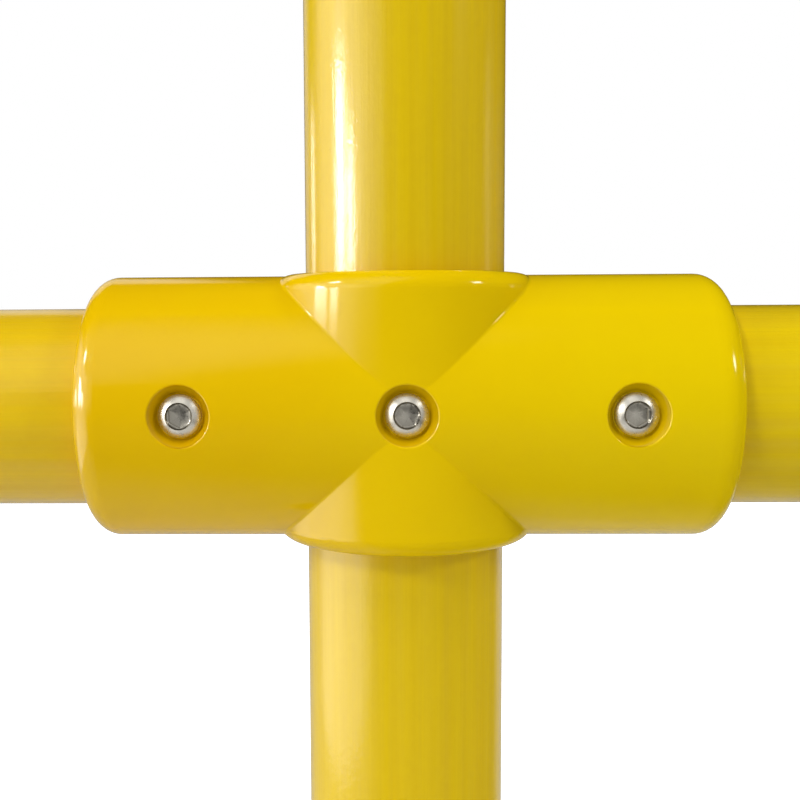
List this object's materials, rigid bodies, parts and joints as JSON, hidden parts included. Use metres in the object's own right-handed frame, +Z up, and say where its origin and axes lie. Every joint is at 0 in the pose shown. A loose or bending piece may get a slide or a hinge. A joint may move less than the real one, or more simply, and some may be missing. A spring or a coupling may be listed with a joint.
{
  "type": "fibreglass handrail",
  "caption": "Open handrail frame of round fibreglass tubes: posts, a middle rail and a top rail held in moulded socket fittings by recessed screws, on bolt-down base flanges.",
  "frame": {"origin": "middle of the underside of the centre post's base flange, on the ground", "axes": "+X along the rails, +Z up the posts, screws facing -Y"},
  "size_m": [2.55, 0.15, 1.1078],
  "materials": {
    "tube": "pultruded fibreglass, glossy",
    "fitting": "moulded gel coat, glossy",
    "screw": "stainless steel"
  },
  "bodies": {
    "root": {"left_post": "tube", "centre_post": "tube", "right_post": "tube", "left_mid_rail": "tube", "right_mid_rail": "tube", "left_top_rail": "tube", "right_top_rail": "tube", "left_base_flange": "fitting", "centre_base_flange": "fitting", "right_base_flange": "fitting", "centre_mid_cross": "fitting", "centre_top_tee": "fitting", "left_mid_tee": "fitting", "right_mid_tee": "fitting", "left_top_elbow": "fitting", "right_top_elbow": "fitting", "left_base_flange_screws": "screw", "centre_base_flange_screws": "screw", "right_base_flange_screws": "screw", "centre_mid_cross_screws": "screw", "centre_top_tee_screws": "screw", "left_mid_tee_screws": "screw", "right_mid_tee_screws": "screw", "left_top_elbow_screws": "screw", "right_top_elbow_screws": "screw"}
  },
  "joints": []
}
